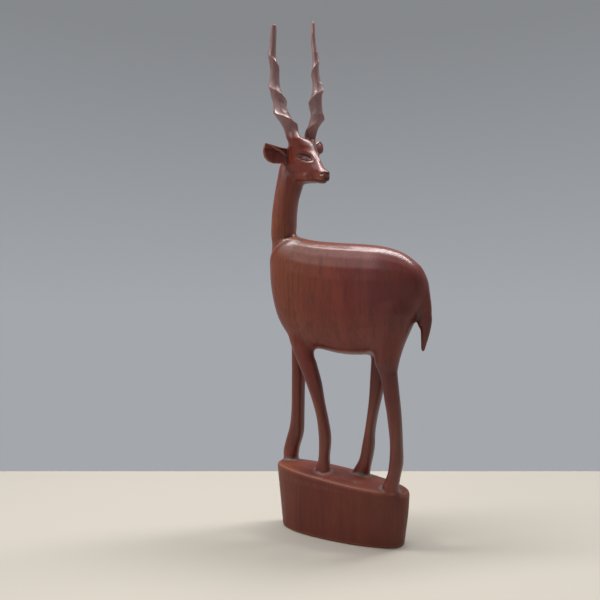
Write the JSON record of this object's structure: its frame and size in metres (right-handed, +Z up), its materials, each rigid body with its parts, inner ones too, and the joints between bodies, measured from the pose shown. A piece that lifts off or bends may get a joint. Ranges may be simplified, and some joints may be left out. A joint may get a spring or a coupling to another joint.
{
  "type": "carved antelope statue",
  "caption": "Free-standing carved wooden antelope on a tapered oval plinth, looking back over its shoulder, with tall twisted horns and a polished reddish-brown finish.",
  "frame": {"origin": "middle of the plinth's flat underside", "axes": "+Z up; the chest points to -X and the rump to +X; the animal's left side faces -Y and its head looks back towards +X"},
  "size_m": [0.1735, 0.0594, 0.534],
  "materials": {
    "plinth_wood": "satin varnish over knife-cut hardwood",
    "body_wood": "polished varnished hardwood",
    "head_wood": "polished varnished hardwood, muzzle stained black",
    "horn_wood": "knife-cut facets, satin varnish"
  },
  "bodies": {
    "root": {"plinth": "plinth_wood", "foreleg_left": "body_wood", "foreleg_right": "body_wood", "hindleg_left": "body_wood", "hindleg_right": "body_wood", "torso": "body_wood", "neck": "body_wood", "head": "head_wood", "ear_left": "head_wood", "ear_right": "head_wood", "horn_left": "horn_wood", "horn_right": "horn_wood", "tail": "body_wood"}
  },
  "joints": []
}
